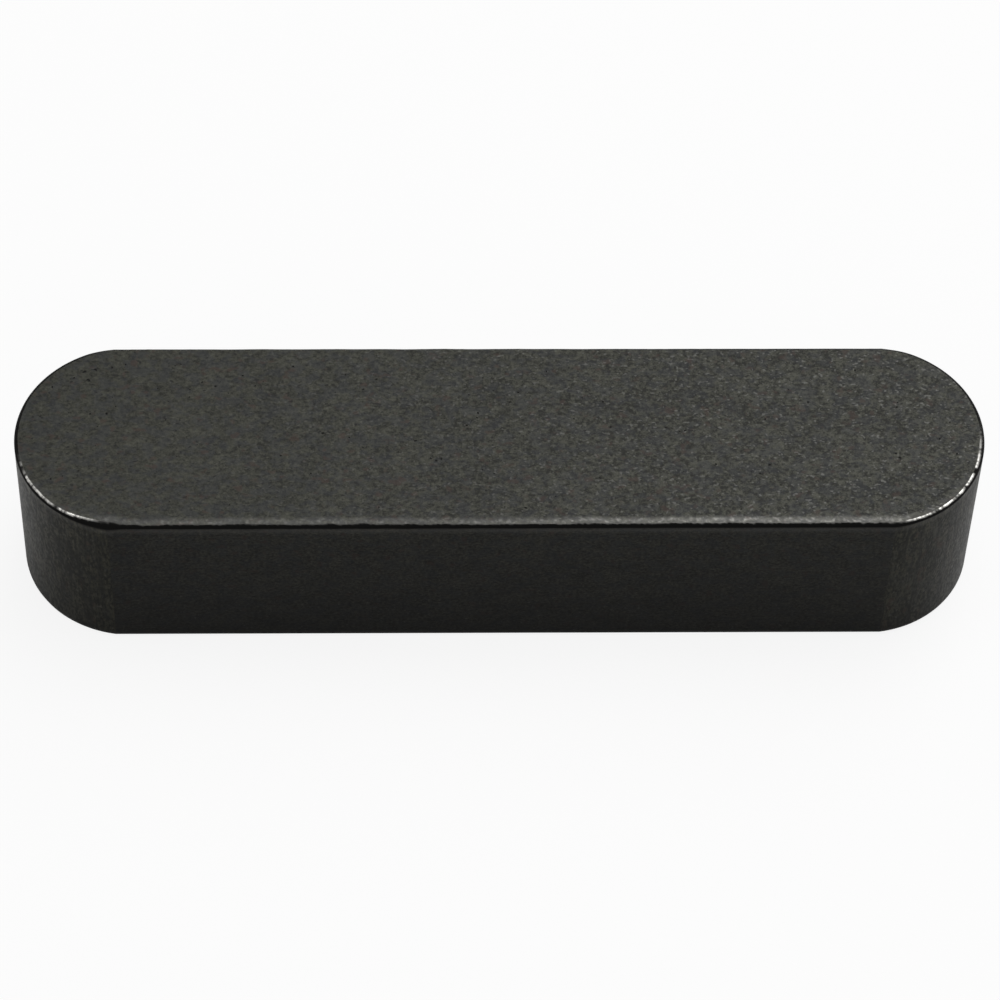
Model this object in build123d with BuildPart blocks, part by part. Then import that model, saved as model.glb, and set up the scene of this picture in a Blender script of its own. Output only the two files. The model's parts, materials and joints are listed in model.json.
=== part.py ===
"""Parallel key with two round ends, for a keyed shaft.

The key is one solid steel piece. It starts as a length of cold-drawn key bar, whose four long edges
carry a small chamfer, and both ends are then milled round. Each long chamfer runs out on the round
end, and the rims left by the cutter are broken afterwards.

Frame: millimetres, +Z up. The origin is the middle of the bottom face, and +X runs along the key.
"""
import os

from build123d import *

# ---- driving dimensions ----------------------------------------------------------------------
key_length = 35.0  # over the two round ends
key_width = 8.0  # across the flanks, which fit the keyway
key_height = 7.0  # bottom face to top face
long_edge_chamfer = 0.15  # leg of the 45 degree chamfer on the four long edges of the bar
end_radius_excess = 0.04  # milled end radius over half the width, so the end meets the flank at a line
end_rim_break = 0.13  # leg of the 45 degree break round the two rims of each milled end

# ---- sizes that follow -----------------------------------------------------------------------
end_radius = key_width / 2 + end_radius_excess
end_center_x = key_length / 2 - end_radius
rim_radius = end_radius - end_rim_break


# ---- one milled end: a drum as tall as the bar, with both rims broken --------------------------
with BuildPart() as end_drum:
    with BuildSketch(Plane.XZ):
        with BuildLine():
            Polyline(
                (0, 0),
                (rim_radius, 0),
                (end_radius, end_rim_break),
                (end_radius, key_height - end_rim_break),
                (rim_radius, key_height),
                (0, key_height),
                close=True,
            )
        make_face()
    revolve(axis=Axis.Z)

# ---- what the milling leaves standing: a drum at each end and the full bar between them --------
with BuildPart() as milled_outline:
    Box(2 * end_center_x, 2 * end_radius, key_height, align=(Align.CENTER, Align.CENTER, Align.MIN))
    with Locations((end_center_x, 0, 0), (-end_center_x, 0, 0)):
        add(end_drum.part)

# ---- the key -----------------------------------------------------------------------------------
with BuildPart() as parallel_key:
    # Cold-drawn bar: its section has the corner chamfers, and they run the full length.
    with BuildSketch(Plane.YZ) as bar_section:
        with Locations((0, key_height / 2)):
            Rectangle(key_width, key_height)
        chamfer(bar_section.vertices(), length=long_edge_chamfer)
    extrude(amount=key_length / 2, both=True)

    # Both ends milled round: the bar's chamfers run out on the drums, whose rims are broken.
    add(milled_outline.part, mode=Mode.INTERSECT)

parallel_key.part.label = "parallel_key"

os.makedirs("parts", exist_ok=True)
export_step(parallel_key.part, "parts/parallel_key.step")
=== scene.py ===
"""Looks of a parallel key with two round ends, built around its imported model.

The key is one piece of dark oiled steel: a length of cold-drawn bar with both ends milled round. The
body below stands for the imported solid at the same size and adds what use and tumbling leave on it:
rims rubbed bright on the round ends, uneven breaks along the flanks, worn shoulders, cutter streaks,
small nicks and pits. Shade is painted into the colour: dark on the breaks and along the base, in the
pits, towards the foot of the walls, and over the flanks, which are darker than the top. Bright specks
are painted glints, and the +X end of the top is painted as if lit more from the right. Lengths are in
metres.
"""
import json
import logging
import math
import random
from dataclasses import dataclass
from enum import Enum

import bmesh
import bpy
from bmesh.types import BMEdge, BMesh, BMVert
from mathutils import Matrix, Vector, noise

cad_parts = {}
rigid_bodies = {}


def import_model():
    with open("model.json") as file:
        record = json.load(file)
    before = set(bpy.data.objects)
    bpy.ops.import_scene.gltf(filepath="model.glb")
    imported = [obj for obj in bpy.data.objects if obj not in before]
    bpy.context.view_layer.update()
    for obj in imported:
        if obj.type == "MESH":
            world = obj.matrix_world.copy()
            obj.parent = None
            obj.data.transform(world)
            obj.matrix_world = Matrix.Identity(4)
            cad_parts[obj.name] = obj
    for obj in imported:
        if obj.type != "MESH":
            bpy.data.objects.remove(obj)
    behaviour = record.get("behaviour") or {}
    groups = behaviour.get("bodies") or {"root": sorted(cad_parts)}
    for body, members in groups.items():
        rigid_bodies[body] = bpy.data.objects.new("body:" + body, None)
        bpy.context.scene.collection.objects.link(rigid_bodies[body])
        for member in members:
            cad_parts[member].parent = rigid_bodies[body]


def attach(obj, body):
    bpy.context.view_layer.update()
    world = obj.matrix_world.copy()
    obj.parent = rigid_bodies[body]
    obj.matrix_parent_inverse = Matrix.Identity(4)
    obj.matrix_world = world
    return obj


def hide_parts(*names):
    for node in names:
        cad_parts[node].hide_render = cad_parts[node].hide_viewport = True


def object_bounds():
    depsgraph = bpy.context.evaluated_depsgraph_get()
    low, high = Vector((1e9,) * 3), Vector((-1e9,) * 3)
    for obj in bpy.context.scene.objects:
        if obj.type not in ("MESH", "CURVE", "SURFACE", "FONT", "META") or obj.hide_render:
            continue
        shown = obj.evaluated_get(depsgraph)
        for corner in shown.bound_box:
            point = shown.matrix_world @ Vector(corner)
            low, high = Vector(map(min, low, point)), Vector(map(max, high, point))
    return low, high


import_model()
CAD_LOW, CAD_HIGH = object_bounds()

MM = 0.001
NODE = "parallel_key"
WORN = "worn"  # attribute: 1 where the steel is rubbed bright
PAINTED_SHADE = "painted_shade"  # attribute: 1 where shade is painted: on the breaks of the top edge, along the base and in the pits
TONE_MIDDLE = 1.045  # sum of the skin's noise layers where each is at its middle
TONE_REST = 0.42  # the skin's tone there, below a half so that the bright tail is the longer one
Colour = tuple[float, float, float, float]
Socket = bpy.types.NodeSocket
log = logging.getLogger("parallel_key")


class Surface(Enum):
    """Which finish a stretch of the key's surface has, as its place in the material list."""

    DRAWN = 0
    FLANK = 1
    MILLED = 2
    BREAK = 3


def smoothstep(low: float, high: float, value: float) -> float:
    """Eases from 0 at low to 1 at high.

    Args:
        low: Value where the result starts to leave 0.
        high: Value where the result reaches 1.
        value: The value to ease.

    Returns:
        A number from 0 to 1.
    """
    t = min(max((value - low) / (high - low), 0.0), 1.0)
    return t * t * (3.0 - 2.0 * t)


def bell(distance: float, spread: float) -> float:
    """A smooth bump that is 1 at no distance and near 0 past two spreads.

    Args:
        distance: How far away the middle of the bump is.
        spread: The bump's half width.

    Returns:
        A number from 0 to 1.
    """
    return math.exp(-((distance / spread) ** 2))


# ---- the shape of the key ------------------------------------------------------------------------


@dataclass(frozen=True)
class EdgeBreak:
    """How one kind of edge is broken, and the worn shoulder inside it."""

    inset: float  # reach of the break over the top face
    drop: float  # reach of the break down the wall
    bulge: float  # how round the break is: 0 is a flat chamfer, 1 a full round
    sink: float  # how far the shoulder has sunk where it meets the break


@dataclass(frozen=True)
class RimRub:
    """Where the rim of one end is rubbed bright, in degrees from the end's tip towards the front."""

    end: int  # 1 for the +X end, -1 for the other
    starts: float
    full: float
    fades: float
    gone: float
    strength: float


@dataclass(frozen=True)
class Nick:
    """A small knock in the top edge, or a stretch that was broken deeper."""

    x: float
    y: float
    spread: float  # half width along the edge
    inset: float  # extra reach over the top face
    drop: float  # extra reach down the wall
    bright: float  # change of the bright wear, negative where the knock is dark


@dataclass(frozen=True)
class RunOut:
    """The burr on the front left corner, where the chamfer of the bar runs out on the milled end."""

    tip_x: float = -16.35 * MM  # where the dark facet starts as a thin line
    full_x: float = -14.2 * MM  # where it is widest
    lip_x: float = -13.95 * MM  # the lip, where it starts to close again
    foot_x: float = -13.45 * MM  # where it has become the plain chamfer
    inset: float = 0.12 * MM
    drop: float = 0.06 * MM

    def amount(self, base: Vector) -> float:
        """How open the facet is at a point of the outline, from 0 to 1."""
        if base.y > 0.0:
            return 0.0
        opened = smoothstep(self.tip_x, self.full_x, base.x) ** 1.6
        return opened * (1.0 - smoothstep(self.lip_x, self.foot_x, base.x))


@dataclass(frozen=True)
class Station:
    """One point of the outline, and how the top edge is broken and worn there."""

    base: Vector
    outward: Vector
    endness: float  # 0 on a flank, 1 round an end
    inset: float
    drop: float
    bulge: float
    sink: float
    rim_rub: float  # bright wear on the break
    shoulder_rub: float  # bright wear on the shoulder


@dataclass
class KeyBody:
    """The key itself: sizes, and the methods that build its mesh."""

    low: Vector
    high: Vector
    end_radius_excess: float = 0.04 * MM
    step: float = 0.045 * MM
    long_edge: EdgeBreak = EdgeBreak(0.115 * MM, 0.15 * MM, 0.2, 0.018 * MM)
    end_rim: EdgeBreak = EdgeBreak(0.13 * MM, 0.13 * MM, 0.8, 0.004 * MM)
    lower_edge: EdgeBreak = EdgeBreak(0.15 * MM, 0.15 * MM, 0.0, 0.0)
    shoulder: float = 0.34 * MM
    bottom_border: float = 0.06 * MM
    break_rings: int = 7
    shoulder_rings: int = 10
    wall_ways: tuple[float, ...] = (0.02, 0.3, 0.6, 0.85, 0.95, 0.985, 1.0)
    wave: float = 1.3 * MM  # length of the slow waviness of the broken edges
    ripple: float = 0.3 * MM  # length of their quick waviness
    rub_patch: float = 0.3 * MM  # length of the larger gaps in the rubbed rims
    rub_fleck: float = 0.09 * MM  # length of the smaller gaps
    rub_edge: tuple[float, float] = (0.078 * MM, 0.042 * MM)  # where the rubbed line starts and is full
    lump: float = 0.15 * MM  # size of the dents on the shoulder
    small_lump: float = 0.065 * MM
    beaten: float = 0.009 * MM  # depth of those dents
    streak_width: float = 0.16 * MM  # width of one cutter mark on an end
    streak_swell: float = 0.7 * MM  # width of a group of marks
    corner_blend: float = 0.3 * MM  # stretch over which the outward direction turns at a joint
    pit_count: int = 240
    seed: int = 35
    rubs: tuple[RimRub, ...] = ()
    nicks: tuple[Nick, ...] = ()
    known_pits: tuple[tuple[float, float, float], ...] = ()
    run_out: RunOut = RunOut()

    def __post_init__(self) -> None:
        """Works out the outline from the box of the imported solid."""
        self.half_width = self.high.y
        self.height = self.high.z
        self.end_radius = self.half_width + self.end_radius_excess
        self.end_x = self.high.x - self.end_radius
        self.joint_angle = math.acos(self.half_width / self.end_radius)
        self.joint_x = self.end_x + self.end_radius * math.sin(self.joint_angle)
        self.random = random.Random(self.seed)
        self.stations: list[Station] = []

    # -- outline --

    def outline(self, bm: BMesh) -> list[BMVert]:
        """Lays the closed outline on the floor: an arc round each end and a straight along each flank.

        Args:
            bm: The mesh to add to.

        Returns:
            The outline's vertices.
        """
        sweep = math.pi - 2.0 * self.joint_angle
        arc_steps = round(sweep * self.end_radius / self.step)
        ends = []
        for side in (1, -1):
            start = bm.verts.new((side * self.joint_x, -side * self.half_width, 0.0))
            spun = bmesh.ops.spin(
                bm,
                geom=[start],
                cent=(side * self.end_x, 0.0, 0.0),
                axis=(0.0, 0.0, 1.0),
                angle=sweep,
                steps=arc_steps,
                use_merge=False,
                use_duplicate=False,
            )
            last = next(g for g in spun["geom_last"] if isinstance(g, BMVert))
            ends.append((start, last))
        (right_start, right_last), (left_start, left_last) = ends
        straights = [bm.edges.new((right_last, left_start)), bm.edges.new((left_last, right_start))]
        cuts = round(2.0 * self.joint_x / self.step) - 1
        bmesh.ops.subdivide_edges(bm, edges=straights, cuts=cuts)
        return list(bm.verts)

    def outward(self, point: Vector) -> Vector:
        """The direction straight out of the wall at a point of the outline.

        It turns gradually over a short stretch at the joint of flank and end, so that rings set in
        from it never cross.

        Args:
            point: A point of the outline.

        Returns:
            A unit vector in the plane of the floor.
        """
        blend = self.corner_blend
        side = math.copysign(1.0, point.x)
        flank = math.copysign(1.0, point.y)
        across = math.atan2(abs(point.x) - self.end_x, abs(point.y))
        if abs(point.x) <= self.joint_x:
            past_joint = abs(point.x) - self.joint_x
        else:
            past_joint = (across - self.joint_angle) * self.end_radius
        lean = max(across, self.joint_angle) if past_joint > 0.0 else 0.0
        if abs(past_joint) < blend:
            reach = self.joint_angle + blend / self.end_radius
            lean = reach * smoothstep(-blend, blend, past_joint)
        return Vector((side * math.sin(lean), flank * math.cos(lean), 0.0))

    # -- edge shapes --

    def rim_rub(self, base: Vector) -> float:
        """How brightly the rim of an end is rubbed at a point of the outline.

        Args:
            base: A point of the outline.

        Returns:
            A number from 0 to 1.
        """
        shine = 0.0
        for rub in self.rubs:
            if base.x * rub.end < self.end_x:
                continue
            turn = math.degrees(math.atan2(-base.y, base.x * rub.end - self.end_x))
            held = smoothstep(rub.starts, rub.full, turn) * (1.0 - smoothstep(rub.fades, rub.gone, turn))
            shine += rub.strength * held
        patchy = 0.68 + 0.95 * noise.noise(base / self.rub_patch) + 0.85 * noise.noise(base / self.rub_fleck)
        return shine * min(max(patchy, 0.04), 1.15)

    def shoulder_rub(self, base: Vector, endness: float) -> float:
        """How much the shoulder inside the top edge is rubbed at a point of the outline.

        The front edge is rubbed most, and more towards the +X end. The back edge is hardly rubbed.

        Args:
            base: A point of the outline.
            endness: 0 on a flank, 1 round an end.

        Returns:
            A number from 0 to 1.
        """
        lean = 0.4 + 0.46 * smoothstep(-0.3 * self.joint_x, 0.6 * self.joint_x, base.x)
        front = smoothstep(-0.2 * self.half_width, -0.8 * self.half_width, base.y)
        return lean * (0.04 + 0.96 * front) * (1.0 - 0.75 * endness)

    def station(self, base: Vector) -> Station:
        """Works out the top edge's break at a point of the outline, with its waviness and nicks.

        Args:
            base: A point of the outline.

        Returns:
            The station.
        """
        across = math.degrees(math.atan2(abs(base.x) - self.end_x, abs(base.y)))
        end = smoothstep(math.degrees(self.joint_angle) - 1.0, 24.0, across)
        values = []
        for name in ("inset", "drop", "bulge", "sink"):
            flank_value, end_value = getattr(self.long_edge, name), getattr(self.end_rim, name)
            values.append(flank_value + (end_value - flank_value) * end)
        inset, drop, bulge, sink = values
        slow = noise.noise(base / self.wave + Vector((3.1, 0.0, 5.0)))
        quick = noise.noise(base / self.ripple + Vector((0.0, 7.7, 1.0)))
        calm = 1.0 - 0.6 * smoothstep(0.0, self.joint_x, base.x)
        inset += 0.04 * MM * smoothstep(0.0, 0.5 * self.joint_x, base.x) * (1.0 - end)
        opened = self.run_out.amount(base)
        inset += (0.03 * slow + 0.024 * quick * (1.0 - opened)) * calm * (1.0 - 0.45 * end) * MM
        drop += (0.014 * slow - 0.008 * quick) * calm * (1.0 - 0.5 * end) * MM
        shine = self.rim_rub(base)
        inset += self.run_out.inset * opened
        drop += self.run_out.drop * opened
        for nick in self.nicks:
            amount = bell(math.hypot(base.x - nick.x, base.y - nick.y), nick.spread)
            inset += nick.inset * amount
            drop += nick.drop * amount
            shine += nick.bright * amount
        return Station(
            base=base,
            outward=self.outward(base),
            endness=end,
            inset=max(inset, 0.03 * MM),
            drop=max(drop, 0.03 * MM),
            bulge=bulge * (1.0 - opened),
            sink=sink,
            rim_rub=min(max(shine, 0.0), 1.0),
            shoulder_rub=self.shoulder_rub(base, end),
        )

    def break_point(self, here: Station, way: float) -> tuple[float, float]:
        """A point of the break's section.

        Args:
            here: The station whose section it is.
            way: 0 where the break leaves the wall, 1 where it reaches the top.

        Returns:
            How far the point lies in from the wall, and how far below the top face.
        """
        turn = way * math.pi / 2.0
        flat_in, flat_down = way, 1.0 - way
        round_in, round_down = 1.0 - math.cos(turn), 1.0 - math.sin(turn)
        across = flat_in + (round_in - flat_in) * here.bulge
        down = flat_down + (round_down - flat_down) * here.bulge
        return here.inset * across, here.sink + (here.drop - here.sink) * down

    def wall_depth(self, here: Station, z: float) -> float:
        """How far cutter marks and wear set the wall back from its true face.

        Args:
            here: The station that the wall point belongs to.
            z: Height on the wall.

        Returns:
            A distance in from the outline.
        """
        lean = Vector((0.0, 0.0, z / (7.0 * MM)))
        streak = noise.noise(here.base / self.streak_width + lean)
        broad = noise.noise(here.base / self.streak_swell + lean)
        milled = 0.0022 * MM * (1.0 + streak) + 0.004 * MM * (1.0 + broad)
        drawn = 0.0012 * MM * (1.0 + noise.noise(Vector((here.base.x / (3.0 * MM), 0.0, z / (0.5 * MM)))))
        return drawn + (milled - drawn) * here.endness

    # -- rings --

    def add_ring(self, bm: BMesh, rim: list[BMEdge]) -> tuple[list[BMVert], list[BMEdge]]:
        """Extrudes the open rim of the shell by one ring, which starts where the rim lies.

        Args:
            bm: The mesh.
            rim: The open rim's edges.

        Returns:
            The new ring's vertices and edges.
        """
        made = bmesh.ops.extrude_edge_only(bm, edges=rim)["geom"]
        verts = [g for g in made if isinstance(g, BMVert)]
        edges = [g for g in made if isinstance(g, BMEdge) and g.is_boundary]
        return verts, edges

    def place(self, vert: BMVert, inset: float, z: float) -> None:
        """Moves a ring's vertex to its distance in from the outline and its height."""
        here = self.stations[vert[self.station_layer]]
        vert.co = here.base - here.outward * inset
        vert.co.z = z

    def build(self) -> bpy.types.Object:
        """Builds the whole key as one closed mesh.

        Returns:
            The key's object, at the origin.
        """
        bm = bmesh.new()
        self.station_layer = bm.verts.layers.int.new("station")
        self.worn_layer = bm.verts.layers.float.new(WORN)
        self.painted_shade_layer = bm.verts.layers.float.new(PAINTED_SHADE)
        for index, vert in enumerate(self.outline(bm)):
            self.stations.append(self.station(vert.co.copy()))
            vert[self.station_layer] = index
            self.place(vert, self.lower_edge.inset + self.bottom_border, 0.0)
        bottom_rim = list(bm.edges)
        rim = self.build_wall(bm, bottom_rim)
        rim = self.build_break(bm, rim)
        rim = self.build_shoulder(bm, rim)
        self.close_bottom(bm, bottom_rim)
        self.close_top(bm, rim)
        bmesh.ops.recalc_face_normals(bm, faces=bm.faces)
        bm.verts.layers.int.remove(bm.verts.layers.int["station"])
        mesh = bpy.data.meshes.new("key_body")
        bm.to_mesh(mesh)
        bm.free()
        key = bpy.data.objects.new("key_body", mesh)
        bpy.context.scene.collection.objects.link(key)
        return key

    def finish_ring(self, verts: list[BMVert], surface: Surface | None) -> None:
        """Gives the faces below a new ring their finish and makes them smooth.

        Args:
            verts: The ring's vertices.
            surface: The finish, or None for the wall's own, milled on the ends and plain on the flanks.
        """
        for vert in verts:
            for face in vert.link_faces:
                if surface is not None:
                    face.material_index = surface.value
                else:
                    milled = abs(face.calc_center_median().x) > self.joint_x
                    face.material_index = Surface.MILLED.value if milled else Surface.FLANK.value
                face.smooth = True

    def build_wall(self, bm: BMesh, rim: list[BMEdge]) -> list[BMEdge]:
        """Lays the lower edge's chamfer, and raises the wall to the foot of the top edge's break.

        Args:
            bm: The mesh.
            rim: Edges of the bottom face's outline.

        Returns:
            The open rim at the head of the wall.
        """
        foot = self.lower_edge.drop
        # Painted shade along the base: the bottom's rim and the lower chamfer are set fully dark.
        verts, rim = self.add_ring(bm, rim)
        for vert in verts:
            self.place(vert, self.lower_edge.inset, 0.0)
            vert[self.painted_shade_layer] = 1.0
        self.finish_ring(verts, Surface.DRAWN)
        verts, rim = self.add_ring(bm, rim)
        for vert in verts:
            here = self.stations[vert[self.station_layer]]
            self.place(vert, self.wall_depth(here, foot), foot)
            vert[self.painted_shade_layer] = 1.0
        self.finish_ring(verts, Surface.BREAK)
        for way in self.wall_ways:
            verts, rim = self.add_ring(bm, rim)
            for vert in verts:
                here = self.stations[vert[self.station_layer]]
                z = foot + (self.height - here.drop - foot) * way
                self.place(vert, self.wall_depth(here, z), z)
                vert[self.painted_shade_layer] = 0.0
                vert[self.worn_layer] = 0.035 * smoothstep(0.96, 0.985, way)
            self.finish_ring(verts, None)
        return rim

    def build_break(self, bm: BMesh, rim: list[BMEdge]) -> list[BMEdge]:
        """Turns the wall over the top edge's break.

        Args:
            bm: The mesh.
            rim: The open rim at the head of the wall.

        Returns:
            The open rim at the inner side of the break.
        """
        for index in range(1, self.break_rings + 1):
            way = index / self.break_rings
            verts, rim = self.add_ring(bm, rim)
            for vert in verts:
                here = self.stations[vert[self.station_layer]]
                inward, down = self.break_point(here, way)
                self.place(vert, inward, self.height - down)
                ragged = 0.2 * noise.noise(vert.co / (0.1 * MM))
                outside = (1.0 - way) * 0.7 * (here.inset + here.drop)  # way back from the inner side
                rim_line = here.rim_rub * smoothstep(*self.rub_edge, outside - ragged * 0.1 * MM)
                lip = here.shoulder_rub * 0.25 * smoothstep(0.78, 1.0, way + ragged)
                vert[self.worn_layer] = max(rim_line, lip)
                # Painted shade on the break: dark over its lower part, nearly all of it along the flanks and
                # the lower half round the ends.
                unshaded_from = 0.86 - 0.45 * here.endness
                vert[self.painted_shade_layer] = 1.0 - smoothstep(unshaded_from, unshaded_from + 0.14, way)
            self.finish_ring(verts, Surface.BREAK)
        return rim

    def build_shoulder(self, bm: BMesh, rim: list[BMEdge]) -> list[BMEdge]:
        """Lays the worn shoulder from the break up to the flat of the top face.

        Args:
            bm: The mesh.
            rim: The open rim at the inner side of the break.

        Returns:
            The open rim of the flat.
        """
        for index in range(1, self.shoulder_rings + 1):
            way = (index / self.shoulder_rings) ** 1.15
            verts, rim = self.add_ring(bm, rim)
            for vert in verts:
                here = self.stations[vert[self.station_layer]]
                self.place(vert, here.inset + self.shoulder * way, 0.0)
                fade = 1.0 - way
                lump = noise.noise(vert.co / self.lump) + 0.6 * noise.noise(vert.co / self.small_lump)
                beaten = self.beaten * (0.35 - lump) * fade * (0.25 + 0.75 * here.shoulder_rub)
                dip = here.sink * fade * fade + beaten * smoothstep(0.0, 0.12, fade)
                vert.co.z = self.height - max(dip, 0.0)
                brink = 1.0 - 0.35 * smoothstep(0.75, 1.0, fade)
                band = smoothstep(0.0, 0.7, fade) * brink * here.shoulder_rub
                scuff = (0.24 + 0.4 * smoothstep(-0.1, 0.75, lump)) * band
                rim_edge = here.rim_rub * smoothstep(0.9, 1.0, fade)
                vert[self.worn_layer] = max(0.7 * scuff, 0.8 * rim_edge)
                vert[self.painted_shade_layer] = 0.0
            self.finish_ring(verts, Surface.DRAWN)
        return rim

    # -- flats --

    def close_bottom(self, bm: BMesh, rim: list[BMEdge]) -> None:
        """Closes the bottom with one flat face, cut into triangles."""
        made = bmesh.ops.triangle_fill(bm, use_beauty=True, edges=rim, normal=(0.0, 0.0, -1.0))
        for face in made["geom"]:
            if isinstance(face, bmesh.types.BMFace):
                face.material_index = Surface.DRAWN.value
                face.smooth = False

    def close_top(self, bm: BMesh, rim: list[BMEdge]) -> None:
        """Closes the top with a flat that has small pits sunk into it.

        Args:
            bm: The mesh.
            rim: The flat's outer edges.
        """
        mouths = []
        for spot, radius in self.pit_places():
            mouths.extend(self.sink_pit(bm, spot, radius))
        made = bmesh.ops.triangle_fill(bm, use_beauty=True, edges=rim + mouths, normal=(0.0, 0.0, 1.0))
        for face in made["geom"]:
            if isinstance(face, bmesh.types.BMFace):
                face.material_index = Surface.DRAWN.value
                face.smooth = False

    def pit_places(self) -> list[tuple[Vector, float]]:
        """Scatters the pits over the top's flat, clear of its edge and of each other.

        Returns:
            Each pit's middle and its radius.
        """
        places = [(Vector((x, y, self.height)), radius) for x, y, radius in self.known_pits]
        reach = self.half_width - self.end_rim.inset - self.shoulder - 0.2 * MM
        while len(places) < self.pit_count:
            radius = (0.016 + 0.034 * self.random.random() ** 2) * MM
            x = self.random.uniform(-self.high.x, self.high.x)
            y = self.random.uniform(-reach, reach)
            from_end = math.hypot(max(abs(x) - self.end_x, 0.0), y)
            if from_end > reach - radius:
                continue
            spot = Vector((x, y, self.height))
            if all((spot - other).length > 2.0 * (radius + size) for other, size in places):
                places.append((spot, radius))
        return places

    def sink_pit(self, bm: BMesh, spot: Vector, radius: float) -> list[BMEdge]:
        """Makes one pit: an uneven mouth, a wall and a floor.

        Args:
            bm: The mesh.
            spot: The middle of its mouth.
            radius: The mouth's mean radius.

        Returns:
            The mouth's edges, which the flat is filled up to.
        """
        stretch = Matrix.Diagonal((self.random.uniform(0.8, 1.6), 1.0, 1.0, 1.0))
        turn = Matrix.Rotation(self.random.uniform(0.0, math.pi), 4, "Z")
        frame_at_spot = Matrix.Translation(spot) @ turn @ stretch
        circle = bmesh.ops.create_circle(bm, cap_ends=False, segments=9, radius=radius, matrix=frame_at_spot)
        ring = circle["verts"]
        for vert in ring:
            away = vert.co - spot
            vert.co = spot + away * self.random.uniform(0.75, 1.2)
        mouth = list({edge for vert in ring for edge in vert.link_edges})
        edges = mouth
        for shrink, depth in ((0.78, 0.6), (0.4, 0.9)):
            made = bmesh.ops.extrude_edge_only(bm, edges=edges)["geom"]
            verts = [g for g in made if isinstance(g, BMVert)]
            edges = [g for g in made if isinstance(g, BMEdge) and g.is_boundary and g not in mouth]
            for vert in verts:
                away = vert.co - spot
                vert.co = spot + Vector((away.x, away.y, 0.0)) * shrink
                vert.co.z = self.height - radius * depth
                # Painted shade inside the pit.
                vert[self.painted_shade_layer] = 1.0
                for face in vert.link_faces:
                    face.material_index = Surface.DRAWN.value
                    face.smooth = True
        floor = bmesh.ops.contextual_create(bm, geom=edges)["faces"]
        for face in floor:
            face.material_index = Surface.DRAWN.value
            face.smooth = True
        return mouth


# ---- finishes ------------------------------------------------------------------------------------


class Graph:
    """A small hand for wiring shader nodes."""

    def __init__(self, tree: bpy.types.NodeTree) -> None:
        """Keeps the tree that nodes are added to."""
        self.tree = tree

    def node(self, kind: str, **values: object) -> bpy.types.Node:
        """Adds a node and sets its properties.

        Args:
            kind: The node's type name without the ShaderNode prefix.
            **values: Properties of the node.

        Returns:
            The node.
        """
        made = self.tree.nodes.new("ShaderNode" + kind)
        for name, value in values.items():
            setattr(made, name, value)
        return made

    def link(self, source: Socket, target: Socket) -> None:
        """Wires one socket to another."""
        self.tree.links.new(source, target)

    def feed(self, value: object, socket: Socket) -> None:
        """Wires a socket into another, or sets a plain value on it."""
        if isinstance(value, Socket):
            self.link(value, socket)
        else:
            socket.default_value = value

    def math(self, operation: str, *values: object, clamp: bool = False) -> Socket:
        """Adds a Math node.

        Args:
            operation: The node's operation.
            *values: Sockets or numbers for its inputs.
            clamp: Whether to hold the result between 0 and 1.

        Returns:
            The node's output.
        """
        made = self.node("Math", operation=operation, use_clamp=clamp)
        for value, socket in zip(values, made.inputs):
            self.feed(value, socket)
        return made.outputs[0]

    def stretched(self, vector: object, scale: tuple[float, float, float], shift: float) -> Socket:
        """Stretches and shifts coordinates, so that a noise read there has its own grain.

        Args:
            vector: The coordinates socket.
            scale: Scale along each axis.
            shift: Shift along each axis, in metres.

        Returns:
            The new coordinates.
        """
        made = self.node("Mapping")
        self.link(vector, made.inputs["Vector"])
        made.inputs["Scale"].default_value = scale
        made.inputs["Location"].default_value = (shift, shift, shift)
        return made.outputs[0]

    def noise(self, vector: object, scale: float, detail: float = 2.0, rough: float = 0.5) -> Socket:
        """Adds a Noise Texture and returns its value.

        Args:
            vector: The coordinates socket.
            scale: Noise scale, per metre.
            detail: Octaves of detail.
            rough: Roughness of the detail.

        Returns:
            The noise value, from 0 to 1.
        """
        made = self.node("TexNoise")
        self.link(vector, made.inputs["Vector"])
        made.inputs["Scale"].default_value = scale
        made.inputs["Detail"].default_value = detail
        made.inputs["Roughness"].default_value = rough
        return made.outputs["Fac"]

    def ramp(
        self, value: object, low: float, high: float, to_low: object = 0.0, to_high: object = 1.0
    ) -> Socket:
        """Maps a range of values onto another, smoothly and clamped.

        Args:
            value: The socket to map.
            low: Start of the range.
            high: End of the range.
            to_low: Result at the start.
            to_high: Result at the end.

        Returns:
            The mapped value's socket.
        """
        made = self.node("MapRange", interpolation_type="SMOOTHSTEP")
        for item, socket in zip((value, low, high, to_low, to_high), made.inputs):
            self.feed(item, socket)
        return made.outputs[0]

    def mix(self, factor: object, first: object, second: object) -> Socket:
        """Mixes two colours.

        Args:
            factor: 0 gives the first colour and 1 the second.
            first: A colour or its socket.
            second: A colour or its socket.

        Returns:
            The mixed colour's socket.
        """
        made = self.node("Mix", data_type="RGBA")
        self.feed(factor, made.inputs["Factor"])
        colours = [s for s in made.inputs if s.type == "RGBA"]
        self.feed(first, colours[0])
        self.feed(second, colours[1])
        return next(s for s in made.outputs if s.type == "RGBA")


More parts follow.
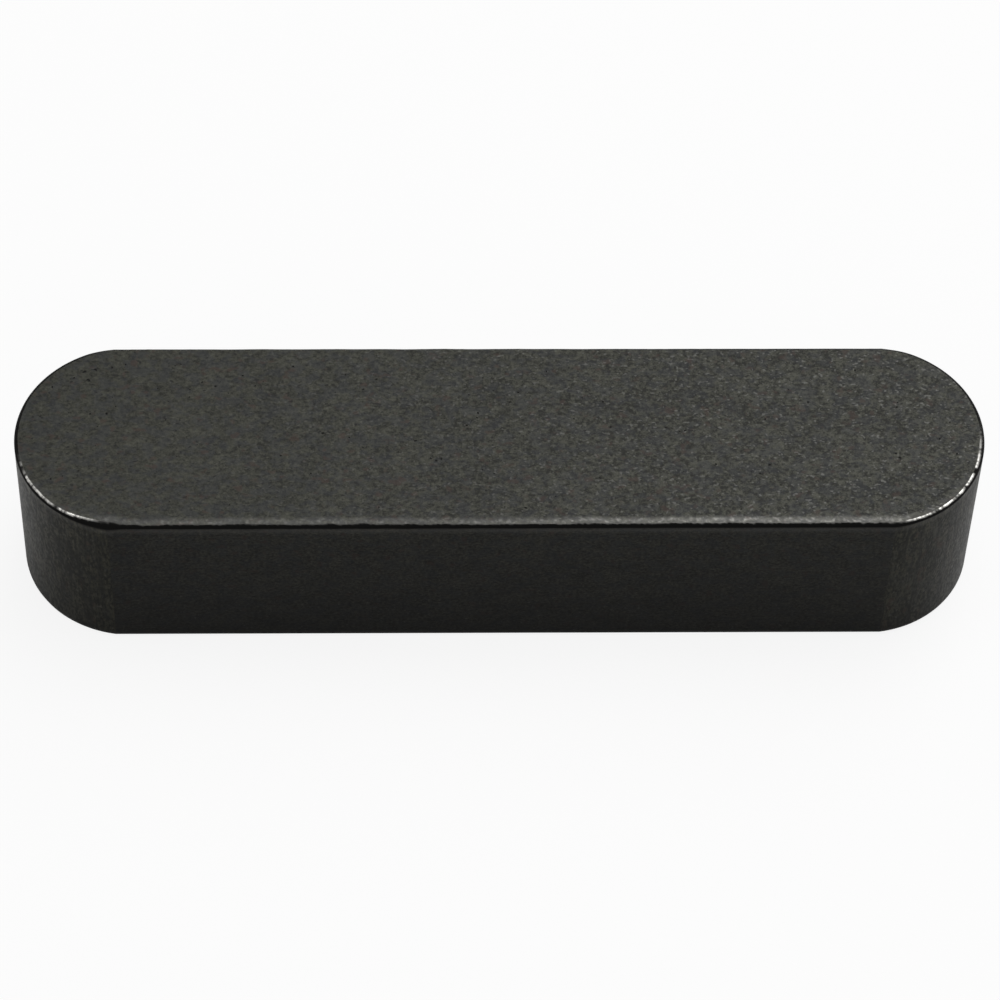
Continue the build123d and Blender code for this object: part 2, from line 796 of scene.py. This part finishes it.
def skin_group() -> bpy.types.NodeTree:
    """The blackened, oiled skin of the steel: grain, mottling, pits for painted shade, and bright specks
    that are painted glints.

    Returns:
        A group with the inputs Vector, Contrast, Pits and Specks and the outputs Tone, Cool, Rust,
        Pits, Specks and Height.
    """
    tree = bpy.data.node_groups.new("oiled_skin", "ShaderNodeTree")
    tree.interface.new_socket("Vector", in_out="INPUT", socket_type="NodeSocketVector")
    for name in ("Contrast", "Pits", "Specks"):
        tree.interface.new_socket(name, in_out="INPUT", socket_type="NodeSocketFloat")
    for name in ("Tone", "Cool", "Rust", "Pits", "Specks", "Height"):
        tree.interface.new_socket(name, in_out="OUTPUT", socket_type="NodeSocketFloat")
    graph = Graph(tree)
    given = tree.nodes.new("NodeGroupInput").outputs
    result = tree.nodes.new("NodeGroupOutput").inputs
    place = given["Vector"]
    grain = graph.noise(place, 9500.0, 1.5, 0.8)
    clumps = graph.noise(graph.stretched(place, (1.0, 1.0, 1.0), 0.31), 3600.0, 1.0, 0.7)
    clouds = graph.noise(graph.stretched(place, (1.0, 1.0, 1.0), 0.57), 800.0, 1.0, 0.8)
    total = graph.math("MULTIPLY", grain, 1.4)
    for layer, share in ((clumps, 0.45), (clouds, 0.24)):
        total = graph.math("ADD", total, graph.math("MULTIPLY", layer, share))
    centred = graph.math("SUBTRACT", total, TONE_MIDDLE)
    swing = graph.math("MULTIPLY", centred, given["Contrast"])
    graph.link(graph.math("ADD", swing, TONE_REST, clamp=True), result["Tone"])
    patches = graph.noise(graph.stretched(place, (1.0, 1.0, 1.0), 0.83), 2300.0, 2.0, 0.6)
    graph.link(graph.ramp(patches, 0.44, 0.6), result["Cool"])
    rust = graph.noise(graph.stretched(place, (1.0, 1.0, 1.0), 1.27), 3200.0, 1.0, 0.5)
    graph.link(graph.ramp(rust, 0.62, 0.74), result["Rust"])
    holes = graph.noise(graph.stretched(place, (0.8, 1.0, 1.0), 1.71), 8200.0, 0.0, 0.5)
    holes = graph.ramp(holes, 0.74, 0.84)
    graph.link(graph.math("MULTIPLY", holes, given["Pits"]), result["Pits"])
    # Painted glints: the bright specks.
    sparks = graph.noise(graph.stretched(place, (0.95, 1.0, 1.0), 2.13), 10500.0, 0.5, 0.6)
    sparks = graph.ramp(sparks, 0.62, 0.8)
    graph.link(graph.math("MULTIPLY", sparks, given["Specks"]), result["Specks"])
    graph.link(graph.math("SUBTRACT", grain, holes), result["Height"])
    return tree


@dataclass(frozen=True)
class SteelFinish:
    """One finish of the dark steel."""

    name: str
    dark: Colour
    light: Colour
    cool: Colour
    rust: Colour
    # Painted shade: foot_shade darkens the colour towards the foot of each wall.
    foot_shade: float = 1.0  # how much of the colour is left at the foot of a wall
    stretch: tuple[float, float, float] = (0.8, 1.0, 1.0)
    contrast: float = 2.0
    # Painted light: contrast_from lowers the skin's contrast towards the -X end, so that the +X end looks
    # lit more from the right.
    contrast_from: float = 1.0  # share of the contrast at the -X end
    # Strength of the painted shade in the skin's pits.
    pits: float = 0.8
    # Painted glints: specks sets how many bright specks show, specks_from their share at the -X end, fewer
    # there so that the +X end looks brighter, and speck their colour.
    specks: float = 0.3
    specks_from: float = 1.0  # share of the specks at the -X end
    streaks: float = 0.0
    # Painted shade: the near-black colour that the breaks, the base, the pits and the foot of the walls are
    # darkened towards.
    painted_shade: Colour = (0.003, 0.003, 0.0029, 1.0)
    bare: Colour = (0.56, 0.55, 0.52, 1.0)
    speck: Colour = (0.16, 0.16, 0.15, 1.0)
    roughness: float = 0.42
    worn_roughness: float = 0.26
    ior: float = 1.3  # low, since oil and soot take most of the mirrored light
    relief: float = 0.003 * MM  # height of the grain
    tint: Colour = (1.0, 1.0, 0.97, 1.0)

    def build(self, skin: bpy.types.NodeTree, length: float, height: float) -> bpy.types.Material:
        """Makes the material.

        Args:
            skin: The shared skin group.
            length: Length of the key.
            height: Height of the key.

        Returns:
            The material.
        """
        material = bpy.data.materials.new(self.name)
        material.use_nodes = True
        tree = material.node_tree
        shader = next(n for n in tree.nodes if n.type == "BSDF_PRINCIPLED")
        graph = Graph(tree)
        place = graph.node("TexCoord").outputs["Object"]
        axes = graph.node("SeparateXYZ")
        graph.link(place, axes.inputs[0])
        steel = graph.node("Group")
        steel.node_tree = skin
        graph.link(graph.stretched(place, self.stretch, 0.0), steel.inputs["Vector"])
        # Painted light: the contrast and the painted glints grow towards the +X end.
        along = (axes.outputs["X"], -length / 2.0, length / 2.0)
        contrast = graph.ramp(*along, self.contrast * self.contrast_from, self.contrast)
        graph.link(contrast, steel.inputs["Contrast"])
        steel.inputs["Pits"].default_value = self.pits
        speck_share = graph.ramp(*along, self.specks * self.specks_from, self.specks)
        graph.link(speck_share, steel.inputs["Specks"])
        worn = graph.node("Attribute", attribute_name=WORN).outputs["Fac"]
        painted_shade = graph.node("Attribute", attribute_name=PAINTED_SHADE).outputs["Fac"]
        colour = graph.mix(steel.outputs["Tone"], self.dark, self.light)
        colour = graph.mix(graph.math("MULTIPLY", steel.outputs["Cool"], 0.4), colour, self.cool)
        colour = graph.mix(graph.math("MULTIPLY", steel.outputs["Rust"], 0.6), colour, self.rust)
        if self.streaks > 0.0:
            lines = graph.noise(graph.stretched(place, (1.0, 1.0, 0.07), 3.3), 5200.0, 1.5, 0.7)
            dark_lines = graph.math("MULTIPLY", graph.ramp(lines, 0.48, 0.68), self.streaks)
            colour = graph.mix(dark_lines, colour, self.dark)
        # Painted shade: darker towards the foot of the wall, where the floor next to the key lies in its
        # shadow and gives less light.
        if self.foot_shade < 1.0:
            upward = (axes.outputs["Z"], -0.25 * height, 1.15 * height)
            shade = graph.ramp(*upward, 1.0 - self.foot_shade, 0.0)
            colour = graph.mix(shade, colour, self.painted_shade)
        colour = graph.mix(steel.outputs["Specks"], colour, self.speck)
        # Painted shade in the skin's pits.
        colour = graph.mix(steel.outputs["Pits"], colour, self.painted_shade)
        # Painted shade from the attribute: the breaks of the top edge, the base and the pits.
        colour = graph.mix(painted_shade, colour, self.painted_shade)
        colour = graph.mix(worn, colour, self.bare)
        graph.link(colour, shader.inputs["Base Color"])
        graph.link(worn, shader.inputs["Metallic"])
        rough = graph.ramp(steel.outputs["Tone"], 0.0, 1.0, self.roughness + 0.05, self.roughness - 0.05)
        sheen = graph.ramp(worn, 0.0, 1.0, 0.0, self.worn_roughness - self.roughness)
        graph.link(graph.math("ADD", rough, sheen), shader.inputs["Roughness"])
        shader.inputs["IOR"].default_value = self.ior
        shader.inputs["Specular Tint"].default_value = self.tint
        bump = graph.node("Bump")
        bump.inputs["Strength"].default_value = 1.0
        bump.inputs["Distance"].default_value = self.relief
        graph.link(steel.outputs["Height"], bump.inputs["Height"])
        graph.link(bump.outputs["Normal"], shader.inputs["Normal"])
        return material


# ---- floor, lamps, world and camera --------------------------------------------------------------


@dataclass(frozen=True)
class Softbox:
    """A square area lamp that faces the key."""

    name: str
    place: tuple[float, float, float]
    size: float
    radiance: float

    def build(self) -> None:
        """Adds the lamp to the scene."""
        lamp = bpy.data.lights.new(self.name, "AREA")
        lamp.shape = "SQUARE"
        lamp.size = self.size
        lamp.energy = self.radiance * math.pi * self.size**2
        made = bpy.data.objects.new(self.name, lamp)
        made.location = self.place
        made.rotation_euler = Vector(self.place).to_track_quat("Z", "Y").to_euler()
        bpy.context.scene.collection.objects.link(made)


@dataclass
class Studio:
    """The pale floor, the soft lamps, the surroundings and the camera."""

    floor_size: float = 4.0
    floor_white: float = 0.9
    seen_white: float = 0.87
    mirrored_white: float = 0.2
    surroundings: float = 0.3
    lamps: tuple[Softbox, ...] = (
        Softbox("lamp_above", (0.05, 0.05, 0.34), 0.22, 3.6),
        Softbox("lamp_back", (0.14, 0.22, 0.27), 0.24, 1.8),
        Softbox("lamp_right", (0.33, 0.0, 0.13), 0.2, 1.25),
        Softbox("lamp_left", (-0.33, 0.0, 0.13), 0.2, 0.8),
    )
    elevation: float = 54.78
    azimuth: float = -2.7
    roll: float = 2.08
    distance: float = 0.17106
    shift_right: float = 0.000124
    shift_up: float = 0.001699
    lens: float = 165.25

    def background(self, graph: Graph, seen: float, mirrored: float, other: float) -> Socket:
        """How much of the plain white a ray sees, by the kind of ray.

        Args:
            graph: The graph of the floor's or the world's nodes.
            seen: The share for rays from the camera.
            mirrored: The share for mirrored rays and rays through glass.
            other: The share for rays that only carry soft light.

        Returns:
            The share's socket.
        """
        path = graph.node("LightPath")
        mirrored_ray, through_ray = path.outputs["Is Glossy Ray"], path.outputs["Is Transmission Ray"]
        bounced = graph.math("MAXIMUM", mirrored_ray, through_ray)
        share = graph.ramp(bounced, 0.0, 1.0, other, mirrored)
        return graph.ramp(path.outputs["Is Camera Ray"], 0.0, 1.0, share, seen)

    def build_floor(self) -> None:
        """Lays the pale floor that the key rests on."""
        bm = bmesh.new()
        bmesh.ops.create_grid(bm, x_segments=1, y_segments=1, size=self.floor_size / 2.0)
        mesh = bpy.data.meshes.new("floor")
        bm.to_mesh(mesh)
        bm.free()
        floor = bpy.data.objects.new("floor", mesh)
        bpy.context.scene.collection.objects.link(floor)
        material = bpy.data.materials.new("pale_floor")
        material.use_nodes = True
        graph = Graph(material.node_tree)
        shader = next(n for n in material.node_tree.nodes if n.type == "BSDF_PRINCIPLED")
        shader.inputs["Base Color"].default_value = (self.floor_white,) * 3 + (1.0,)
        shader.inputs["Roughness"].default_value = 0.9
        shader.inputs["Specular IOR Level"].default_value = 0.0
        glow = graph.node("Emission")
        glow.inputs["Strength"].default_value = 1.0
        mix = graph.node("MixShader")
        output = next(n for n in material.node_tree.nodes if n.type == "OUTPUT_MATERIAL")
        graph.link(self.background(graph, self.seen_white, self.mirrored_white, 0.0), mix.inputs[0])
        graph.link(shader.outputs[0], mix.inputs[1])
        graph.link(glow.outputs[0], mix.inputs[2])
        graph.link(mix.outputs[0], output.inputs["Surface"])
        mesh.materials.append(material)

    def build_world(self) -> None:
        """Surrounds the key with a dim even light that is white to the camera and in mirrored rays."""
        world = bpy.data.worlds.new("surroundings")
        bpy.context.scene.world = world
        world.use_nodes = True
        graph = Graph(world.node_tree)
        backdrop = next(n for n in world.node_tree.nodes if n.type == "BACKGROUND")
        backdrop.inputs["Color"].default_value = (1.0, 1.0, 1.0, 1.0)
        graph.link(self.background(graph, 1.0, 1.0, self.surroundings), backdrop.inputs["Strength"])

    def build_camera(self) -> None:
        """Sets the camera above and in front of the key, turned a little on its own axis."""
        up, turn, roll = math.radians(self.elevation), math.radians(self.azimuth), math.radians(self.roll)
        back = Vector((math.sin(turn) * math.cos(up), -math.cos(turn) * math.cos(up), math.sin(up)))
        level = Vector((0.0, 0.0, 1.0)).cross(back).normalized()
        over = back.cross(level)
        right = level * math.cos(roll) + over * math.sin(roll)
        above = over * math.cos(roll) - level * math.sin(roll)
        place = back * self.distance + right * self.shift_right + above * self.shift_up
        camera = bpy.data.cameras.new("camera")
        camera.lens = self.lens
        camera.sensor_width = 36.0
        camera.clip_start = 0.001
        camera.clip_end = 20.0
        made = bpy.data.objects.new("camera", camera)
        turned = Matrix((right, above, back)).transposed().to_4x4()
        made.matrix_world = Matrix.Translation(place) @ turned
        bpy.context.scene.collection.objects.link(made)
        bpy.context.scene.camera = made

    def build(self) -> None:
        """Builds the floor, the lamps, the world and the camera."""
        self.build_floor()
        self.build_world()
        for lamp in self.lamps:
            lamp.build()
        self.build_camera()
        bpy.context.scene.view_settings.view_transform = "Standard"


def steel_finishes() -> tuple[SteelFinish, ...]:
    """The four finishes of the key, in the order of the Surface options."""
    return (
        SteelFinish(
            name="drawn_face",
            dark=(0.0045, 0.0047, 0.003, 1.0),
            light=(0.0562, 0.0569, 0.044, 1.0),
            cool=(0.0215, 0.0235, 0.0285, 1.0),
            rust=(0.034, 0.0215, 0.017, 1.0),
            contrast=2.4,
            # Painted light: less contrast and far fewer painted glints towards the -X end, as if the +X end
            # were lit more from the right.
            contrast_from=0.58,
            specks=0.65,
            specks_from=0.1,
            pits=0.85,
            ior=1.25,
        ),
        # Painted shade: the flanks are the same drawn steel as the top, given about half its colour because
        # they get less light.
        SteelFinish(
            name="flank",
            dark=(0.0018, 0.0018, 0.0011, 1.0),
            light=(0.028, 0.0272, 0.021, 1.0),
            cool=(0.0074, 0.0094, 0.012, 1.0),
            rust=(0.0155, 0.0085, 0.006, 1.0),
            foot_shade=0.25,
            contrast=1.7,
            specks=0.06,
            pits=0.5,
            ior=1.17,
        ),
        SteelFinish(
            name="milled_end",
            dark=(0.0025, 0.0027, 0.0018, 1.0),
            light=(0.0288, 0.0274, 0.0172, 1.0),
            cool=(0.0092, 0.0102, 0.0105, 1.0),
            rust=(0.024, 0.0135, 0.009, 1.0),
            contrast=2.6,
            stretch=(1.0, 1.0, 0.45),
            foot_shade=0.5,
            specks=0.1,
            pits=0.5,
            streaks=0.9,
            ior=1.18,
            tint=(1.0, 0.98, 0.86, 1.0),
        ),
        # Painted shade: the steel of the breaks and the lower chamfer given a colour far darker than the
        # faces'.
        SteelFinish(
            name="edge_break",
            dark=(0.0022, 0.0022, 0.002, 1.0),
            light=(0.0066, 0.0066, 0.006, 1.0),
            cool=(0.004, 0.0042, 0.0044, 1.0),
            rust=(0.005, 0.004, 0.0035, 1.0),
            specks=0.02,
            pits=0.3,
            ior=1.12,
        ),
    )


def main() -> None:
    """Builds the key and the studio, and reports what was made."""
    logging.basicConfig(level=logging.INFO, format="%(message)s")
    body = KeyBody(
        low=CAD_LOW,
        high=CAD_HIGH,
        rubs=(
            RimRub(end=-1, starts=10.0, full=26.0, fades=64.0, gone=80.0, strength=0.9),
            RimRub(end=1, starts=-12.0, full=30.0, fades=58.0, gone=90.0, strength=1.0),
        ),
        nicks=(
            Nick(17.3 * MM, -0.7 * MM, 1.1 * MM, 0.05 * MM, 0.02 * MM, 0.0),
            Nick(17.0 * MM, -1.67 * MM, 0.09 * MM, 0.07 * MM, 0.04 * MM, -1.6),
            Nick(16.63 * MM, -2.33 * MM, 0.09 * MM, 0.06 * MM, 0.04 * MM, -1.6),
            Nick(-17.25 * MM, -1.06 * MM, 0.08 * MM, 0.06 * MM, 0.04 * MM, -0.8),
            Nick(-15.0 * MM, -3.7 * MM, 0.4 * MM, 0.0, 0.0, 0.5),
            Nick(-9.1 * MM, -4.0 * MM, 0.5 * MM, 0.04 * MM, 0.02 * MM, 0.0),
            Nick(-6.1 * MM, -4.0 * MM, 0.25 * MM, 0.05 * MM, 0.02 * MM, 0.0),
            Nick(-4.95 * MM, -4.0 * MM, 0.25 * MM, 0.05 * MM, 0.01 * MM, 0.0),
            Nick(-3.35 * MM, -4.0 * MM, 0.3 * MM, 0.03 * MM, 0.02 * MM, 0.0),
        ),
        known_pits=(
            (-15.06 * MM, 2.88 * MM, 0.06 * MM),
            (-14.91 * MM, 2.51 * MM, 0.062 * MM),
            (-14.67 * MM, 2.97 * MM, 0.05 * MM),
            (-16.2 * MM, 2.2 * MM, 0.045 * MM),
            (-14.2 * MM, 1.0 * MM, 0.045 * MM),
            (-16.1 * MM, -1.9 * MM, 0.04 * MM),
        ),
    )
    key = body.build()
    skin = skin_group()
    for finish in steel_finishes():
        key.data.materials.append(finish.build(skin, body.high.x - body.low.x, body.height))
    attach(key, "root")
    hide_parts(NODE)
    log.info("key_body: %d faces", len(key.data.polygons))
    studio = Studio()
    studio.build()
    log.info("studio: floor, %d lamps, camera", len(studio.lamps))


if __name__ == "__main__":
    main()
